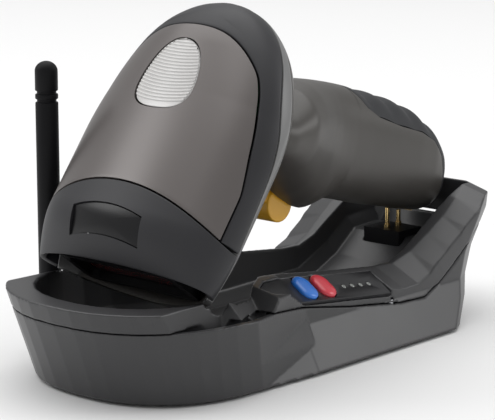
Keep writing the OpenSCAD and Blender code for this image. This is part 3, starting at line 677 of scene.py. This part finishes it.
# %% the rib tree
def rib_tree():
    """Geometry Nodes: bent bars repeated along the window"""
    tree = bpy.data.node_groups.new("window_ribs", "GeometryNodeTree")
    face = tree.interface
    face.new_socket("Geometry", in_out="INPUT", socket_type="NodeSocketGeometry")
    for label, kind, value in (("Count", "NodeSocketInt", 20), ("Pitch", "NodeSocketFloat", 0.00112),
                               ("Half Width", "NodeSocketFloat", 0.0105), ("Bend", "NodeSocketFloat", 0.0028),
                               ("Thickness", "NodeSocketFloat", 0.00033)):
        face.new_socket(label, in_out="INPUT", socket_type=kind).default_value = value
    face.new_socket("Finish", in_out="INPUT", socket_type="NodeSocketMaterial")
    face.new_socket("Geometry", in_out="OUTPUT", socket_type="NodeSocketGeometry")
    nodes, links = tree.nodes, tree.links
    gin, gout = nodes.new("NodeGroupInput"), nodes.new("NodeGroupOutput")
    line = nodes.new("GeometryNodeMeshLine")
    links.new(gin.outputs["Count"], line.inputs["Count"])
    step = nodes.new("ShaderNodeCombineXYZ")
    links.new(gin.outputs["Pitch"], step.inputs["Y"])
    links.new(step.outputs[0], line.inputs["Offset"])
    bend = nodes.new("GeometryNodeCurveQuadraticBezier")
    bend.inputs["Resolution"].default_value = 24
    bend.inputs["Middle"].default_value = (0, -0.0006, 0)
    for socket, sign in (("Start", -1), ("End", 1)):
        end = nodes.new("ShaderNodeCombineXYZ")
        wide = nodes.new("ShaderNodeMath")
        wide.operation = "MULTIPLY"
        wide.inputs[1].default_value = sign
        links.new(gin.outputs["Half Width"], wide.inputs[0])
        links.new(wide.outputs[0], end.inputs["X"])
        links.new(gin.outputs["Bend"], end.inputs["Y"])
        links.new(end.outputs[0], bend.inputs[socket])
    profile = nodes.new("GeometryNodeCurvePrimitiveCircle")
    profile.inputs["Resolution"].default_value = 6
    links.new(gin.outputs["Thickness"], profile.inputs["Radius"])
    bar = nodes.new("GeometryNodeCurveToMesh")
    bar.inputs["Fill Caps"].default_value = True
    links.new(bend.outputs["Curve"], bar.inputs["Curve"])
    links.new(profile.outputs["Curve"], bar.inputs["Profile Curve"])
    place = nodes.new("GeometryNodeInstanceOnPoints")
    links.new(line.outputs["Mesh"], place.inputs["Points"])
    links.new(bar.outputs["Mesh"], place.inputs["Instance"])
    real = nodes.new("GeometryNodeRealizeInstances")
    links.new(place.outputs["Instances"], real.inputs["Geometry"])
    paint = nodes.new("GeometryNodeSetMaterial")
    links.new(real.outputs["Geometry"], paint.inputs["Geometry"])
    links.new(gin.outputs["Finish"], paint.inputs["Material"])
    links.new(paint.outputs["Geometry"], gout.inputs["Geometry"])
    return tree


def grow(name, tree, look, values):
    """run a Geometry Nodes tree and keep its result as a plain mesh"""
    obj = bpy.data.objects.new(name, bpy.data.meshes.new(name))
    bpy.context.scene.collection.objects.link(obj)
    mod = obj.modifiers.new("grow", "NODES")
    mod.node_group = tree
    sockets = {i.name: i.identifier for i in tree.interface.items_tree if i.in_out == "INPUT"}
    mod[sockets["Finish"]] = LOOKS[look]
    for label, value in values.items():
        mod[sockets[label]] = value
    bake(obj)
    return obj


ribs = grow("led_window_ribs", rib_tree(), "window_clear", {"Count": 19, "Half Width": 0.0112})
bm = bmesh.new()
bm.from_mesh(ribs.data)
for vert in bm.verts:
    px, ps, lift = vert.co.x / MM, vert.co.y / MM + LED_LOW + 1.2, vert.co.z / MM
    top = max(0.0, (ps - LED_LOW - 8) / (LED_HIGH - LED_LOW - 8))
    room = (LED_HALF - 0.3) * (max(0.0, 1 - min(1, top) ** 1.8) ** (1 / 2.3) if ps > LED_LOW + 8 else 1)
    if ps < LED_LOW + 8:
        room = (LED_HALF - 0.3) * max(0.0, 1 - min(1, (LED_LOW + 8 - ps) / 8) ** 2.6) ** (1 / 2.6)
    px = max(-room, min(room, px))
    n_here = float(crown_height(px, ps)) - 0.32 + lift * 0.9
    vert.co = Vector(head_world(px, ps, n_here).tolist()) * MM
bm.to_mesh(ribs.data)
bm.free()
tidy(ribs, 0.00001)
soften(ribs, 60)
print("window ribs:", len(ribs.data.polygons), "faces")

# %% badge recess in the bumper
BADGE_HALF = 14.0


def badge_outline(gap):
    """a slightly bowed blank badge, as (x, s)"""
    pts = []
    for i in range(25):
        x = -1 + i / 12
        pts.append((x * (BADGE_HALF + gap), 10.9 - 1.3 * x * x - gap))
    for i in range(25):
        x = 1 - i / 12
        pts.append((x * (BADGE_HALF + gap), 19.6 - 2.0 * x * x + gap))
    return pts


cut(bumper, prism("badge_cutter", badge_outline(0.25), -14, 8, head_world))
soften(bumper)
verts = []
rings = [1.0, 0.96, 0.8, 0.6, 0.4, 0.2, 0.02]
edge_line = np.array(badge_outline(0.0))
for q in rings:
    flat = np.array([0, 15.0]) + (edge_line - np.array([0, 15.0])) * q
    verts += head_world(flat[:, 0], flat[:, 1], crown_height(flat[:, 0], flat[:, 1]) - 0.55).tolist()
n = len(edge_line)
faces = [(r * n + i, r * n + (i + 1) % n, (r + 1) * n + (i + 1) % n, (r + 1) * n + i)
         for r in range(len(rings) - 1) for i in range(n)]
faces.append(tuple(range((len(rings) - 1) * n, len(rings) * n)))
badge = make_object("badge_skin", verts, faces, "badge_plastic")
shell(badge, 1.2, 0.25, (0, 0, 40))
soften(badge)


# %% [markdown]
# ## Cradle
# The cradle's two shells have soft moulded edges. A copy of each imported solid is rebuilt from
# small cubes and then relaxed a few times, which rounds every edge by about the same amount, as a
# mould does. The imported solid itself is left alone.


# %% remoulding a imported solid
def copy_of(node, name, look):
    """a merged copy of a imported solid, as its own object"""
    obj = bpy.data.objects.new(name, frame["nodes"][node].data.copy())
    bpy.context.scene.collection.objects.link(obj)
    obj.data.materials.clear()
    obj.data.materials.append(LOOKS[look])
    bm = bmesh.new()
    bm.from_mesh(obj.data)
    bmesh.ops.remove_doubles(bm, verts=bm.verts, dist=0.000002)
    bm.to_mesh(obj.data)
    bm.free()
    return obj


def remould(node, name, look, cube, rounds, keep):
    obj = copy_of(node, name, look)
    mesh = obj.modifiers.new("cubes", "REMESH")
    mesh.mode = "VOXEL"
    mesh.voxel_size = cube * MM
    mesh.use_smooth_shade = True
    relax = obj.modifiers.new("relax", "SMOOTH")
    relax.factor = 0.5
    relax.iterations = rounds
    thin = obj.modifiers.new("thin", "DECIMATE")
    thin.ratio = keep
    bake(obj)
    obj.data.materials.clear()
    obj.data.materials.append(LOOKS[look])
    for poly in obj.data.polygons:
        poly.use_smooth = True
        poly.material_index = 0
    return obj


cube = 0.4
keep = 0.2
cradle_top = remould("cradle_top", "cradle_top_skin", "cradle_plastic", cube, 5, keep)
cradle_base = remould("cradle_base", "cradle_base_skin", "cradle_plastic", cube, 5, keep)
print("cradle faces:", len(cradle_top.data.polygons), len(cradle_base.data.polygons))

# %% [markdown]
# ## Panel, buttons and lights
# Two oval buttons stand proud of a dark inset panel, and a row of small lenses sits behind them.
# The buttons are stacked outlines with a domed top; the lenses repeat, so nodes lay them out.

# %% the panel's own frame
FALL = math.atan(6.4 / 58)      # the rim falls this much along the panel
LEAN = math.radians(31)


def panel_world(x, y, z):
    x, y, z = np.broadcast_arrays(np.asarray(x, float), np.asarray(y, float), np.asarray(z, float))
    x1, z1 = x * math.cos(LEAN) + z * math.sin(LEAN), -x * math.sin(LEAN) + z * math.cos(LEAN)
    y2, z2 = y * math.cos(FALL) + z1 * math.sin(FALL), -y * math.sin(FALL) + z1 * math.cos(FALL)
    return np.stack([x1 + 27.6, y2 - 4, z2 + 24.9], -1)


BUTTON_X = -0.9        # the buttons sit slightly nearer the trough than the panel's centre
BUTTON_R = 3.5
BUTTON_REACH = 1.5     # from the button's centre to the centre of its round ends
BUTTON_Y = {"blue": 20.8, "red": 29.6}


def oval_button(name, y0, look):
    """a push button: a rounded bar outline stacked in layers"""
    layers = [(0.0, -0.9), (0.0, 0.45), (0.12, 0.75), (0.4, 1.04), (0.9, 1.27), (1.7, 1.42),
              (2.6, 1.49), (3.4, 1.5)]
    count = 72
    verts = []
    for inset, z in layers:
        r = BUTTON_R - inset
        for i in range(count):
            a = 2 * math.pi * i / count
            reach = math.copysign(BUTTON_REACH, math.cos(a))
            verts.append((BUTTON_X + reach + r * math.cos(a), y0 + r * math.sin(a), z))
    arr = np.array(verts)
    pts = panel_world(arr[:, 0], arr[:, 1], arr[:, 2])
    faces = grid_faces(len(layers), count, True)
    faces += [tuple(range(count)), tuple(range(len(verts) - count, len(verts)))]
    obj = tidy(make_object(name, pts.tolist(), faces, look))
    return soften(obj, 50)


blue = oval_button("blue_button_cap", BUTTON_Y["blue"], "blue_plastic")
red = oval_button("red_button_cap", BUTTON_Y["red"], "red_plastic")
panel = copy_of("control_panel", "control_panel_skin", "panel_plastic")
edge = panel.modifiers.new("edge", "BEVEL")
edge.width = 0.2 * MM
edge.segments = 2
edge.limit_method = "ANGLE"
edge.angle_limit = math.radians(50)
soften(bake(panel))


# %% the lens tree
def lens_tree():
    """Geometry Nodes: small domes in a row"""
    tree = bpy.data.node_groups.new("panel_lenses", "GeometryNodeTree")
    face = tree.interface
    face.new_socket("Geometry", in_out="INPUT", socket_type="NodeSocketGeometry")
    for label, kind, value in (("Count", "NodeSocketInt", 5), ("Pitch", "NodeSocketFloat", 0.0046),
                               ("Radius", "NodeSocketFloat", 0.00095), ("Flatness", "NodeSocketFloat", 0.42)):
        face.new_socket(label, in_out="INPUT", socket_type=kind).default_value = value
    face.new_socket("Finish", in_out="INPUT", socket_type="NodeSocketMaterial")
    face.new_socket("Geometry", in_out="OUTPUT", socket_type="NodeSocketGeometry")
    nodes, links = tree.nodes, tree.links
    gin, gout = nodes.new("NodeGroupInput"), nodes.new("NodeGroupOutput")
    line = nodes.new("GeometryNodeMeshLine")
    links.new(gin.outputs["Count"], line.inputs["Count"])
    step = nodes.new("ShaderNodeCombineXYZ")
    links.new(gin.outputs["Pitch"], step.inputs["Y"])
    links.new(step.outputs[0], line.inputs["Offset"])
    ball = nodes.new("GeometryNodeMeshUVSphere")
    ball.inputs["Segments"].default_value = 24
    ball.inputs["Rings"].default_value = 12
    links.new(gin.outputs["Radius"], ball.inputs["Radius"])
    place = nodes.new("GeometryNodeInstanceOnPoints")
    flat = nodes.new("ShaderNodeCombineXYZ")
    flat.inputs["X"].default_value = 1
    flat.inputs["Y"].default_value = 1
    links.new(gin.outputs["Flatness"], flat.inputs["Z"])
    links.new(flat.outputs[0], place.inputs["Scale"])
    links.new(line.outputs["Mesh"], place.inputs["Points"])
    links.new(ball.outputs["Mesh"], place.inputs["Instance"])
    real = nodes.new("GeometryNodeRealizeInstances")
    links.new(place.outputs["Instances"], real.inputs["Geometry"])
    paint = nodes.new("GeometryNodeSetMaterial")
    links.new(real.outputs["Geometry"], paint.inputs["Geometry"])
    links.new(gin.outputs["Finish"], paint.inputs["Material"])
    links.new(paint.outputs["Geometry"], gout.inputs["Geometry"])
    return tree


lenses = grow("panel_lenses", lens_tree(), "light_lens", {"Count": 4, "Pitch": 0.0042})
for vert in lenses.data.vertices:
    p = vert.co / MM
    vert.co = Vector(panel_world(p.x, p.y + 39, p.z + 0.02).tolist()) * MM
for poly in lenses.data.polygons:
    poly.use_smooth = True

# %% [markdown]
# ## Antenna
# The whip is a turned sleeve: one profile spun round its own axis, with two fine grooves below
# its domed tip.

# %% antenna sleeve
AX, AY, AZ = -46.6, -21.5, 13.2
R = 3.6
LEN = 72.5
profile = [(0, 5.2), (2.4, 5.2), (2.9, 5.5), (R, 6.8)]
for place in (12.4, 9.8):
    z = 5.2 + LEN - place
    profile += [(R, z - 0.8), (R - 0.12, z - 0.55), (R - 0.55, z - 0.4), (R - 0.55, z + 0.4),
                (R - 0.12, z + 0.55), (R, z + 0.8)]
profile += [(R * math.cos(a), 5.2 + LEN - 3.2 + 3.2 * math.sin(a))
            for a in np.linspace(0, math.pi / 2, 10)[:-1]]
profile += [(0, 5.2 + LEN)]
count = 64
verts = [(AX + r * math.cos(2 * math.pi * i / count), AY + r * math.sin(2 * math.pi * i / count), AZ + z)
         for r, z in profile for i in range(count)]
whip = make_object("antenna_sleeve", verts, grid_faces(len(profile), count, True), "black_plastic")
tidy(whip)
soften(whip, 35)
corners = ((-2.1, -1.5), (2.1, -1.5), (2.1, 1.5), (-2.1, 1.5))
tongue = [(AX + x, AY + y, AZ + z) for z in (-2.1, 7) for x, y in corners]
sides = [(i, (i + 1) % 4, 4 + (i + 1) % 4, 4 + i) for i in range(4)]
tongue_obj = make_object("antenna_tongue", tongue, [(0, 1, 2, 3), (4, 5, 6, 7)] + sides,
                         "black_plastic", False)
tidy(tongue_obj)
round_end = tongue_obj.modifiers.new("round", "BEVEL")
round_end.width = 0.4 * MM
round_end.segments = 3
soften(bake(tongue_obj))

# %% [markdown]
# ## Trigger
# The trigger is a satin orange lever with a round finger end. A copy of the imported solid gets
# rounded edges, because a finger never meets a sharp one.

# %% trigger
trigger = remould("trigger", "trigger_skin", "trigger_plastic", 0.3, 6, 0.6)

# %% what rides on what
RIDES = [
    (top_cover, "scanner", "top_cover", "cover_paint"),
    (bumper, "scanner", "nose_bumper", "charcoal_plastic"),
    (band, "scanner", "head_band", "charcoal_plastic"),
    (strip, "scanner", "trim_strip", "strip_plastic"),
    (housings[0], "scanner", "housing_left", "housing_plastic"),
    (housings[1], "scanner", "housing_right", "housing_plastic"),
    (pad, "scanner", "grip_pad", "grip_rubber"),
    (window, "scanner", "led_window", "window_clear"),
    (ribs, "scanner", "led_window", "window_clear"),
    (badge, "scanner", "badge_plate", "badge_plastic"),
    (cradle_top, "cradle", "cradle_top", "cradle_plastic"),
    (cradle_base, "cradle", "cradle_base", "cradle_plastic"),
    (panel, "cradle", "control_panel", "panel_plastic"),
    (lenses, "cradle", "panel_lights", "light_lens"),
    (blue, "blue_button", "blue_button", "blue_plastic"),
    (red, "red_button", "red_button", "red_plastic"),
    (whip, "antenna_whip", "antenna_whip", "black_plastic"),
    (tongue_obj, "antenna_whip", "antenna_whip", "black_plastic"),
    (trigger, "trigger", "trigger", "trigger_plastic"),
]
for obj, body, node, look in RIDES:
    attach(obj, body)
    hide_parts(node)
print("pieces made:", len(RIDES))

# %% [markdown]
# ## Floor, light and camera
# A pale seamless floor and three large soft lamps keep the shadows quiet, and the long lens is
# set low at the front right corner.

# %% floor and lights
FLOOR_HALF = 3000
FOOT_Z = -1            # the feet stand this far below the cradle
corners = ((-1, -1), (1, -1), (1, 1), (-1, 1))
floor = make_object("floor", [(x * FLOOR_HALF, y * FLOOR_HALF, FOOT_Z) for x, y in corners],
                    [(0, 1, 2, 3)], "foot_rubber", False)
floor_look = bpy.data.materials.new("floor_paint")
floor_look.use_nodes = True
floor_look.node_tree.nodes["Principled BSDF"].inputs["Base Color"].default_value = (0.86, 0.86, 0.86, 1)
floor_look.node_tree.nodes["Principled BSDF"].inputs["Roughness"].default_value = 0.7
floor.data.materials.clear()
floor.data.materials.append(floor_look)

world = bpy.data.worlds.new("studio")
world.use_nodes = True
world.node_tree.nodes["Background"].inputs["Color"].default_value = (1, 1, 1, 1)
world.node_tree.nodes["Background"].inputs["Strength"].default_value = 0.5
bpy.context.scene.world = world


def lamp(name, place, power, width):
    light = bpy.data.lights.new(name, "AREA")
    light.energy = power
    light.size = width
    obj = bpy.data.objects.new(name, light)
    obj.location = place
    aim = Vector((0, 0.02, 0.05)) - Vector(place)
    obj.rotation_euler = aim.to_track_quat("-Z", "Y").to_euler()
    bpy.context.scene.collection.objects.link(obj)


lamp("overhead", (-0.5, 0.2, 2.2), 46, 3.0)
lamp("key", (-0.9, -0.7, 0.8), 3.0, 0.5)
lamp("rim", (0.8, 0.9, 0.6), 3.0, 0.5)

# %% camera
lens = bpy.data.cameras.new("camera")
lens.lens = 2000 / 495 * 36
lens.sensor_width = 36
lens.clip_start = 0.01
camera = bpy.data.objects.new("camera", lens)
turn, rise = math.radians(42), math.radians(11.5)
back = Vector((math.sin(turn) * math.cos(rise), -math.cos(turn) * math.cos(rise), math.sin(rise)))
camera.location = (0.4138, -0.4392, 0.1694)
camera.rotation_euler = (-back).to_track_quat("-Z", "Y").to_euler()
bpy.context.scene.collection.objects.link(camera)
bpy.context.scene.camera = camera
bpy.context.scene.view_settings.view_transform = "Standard"
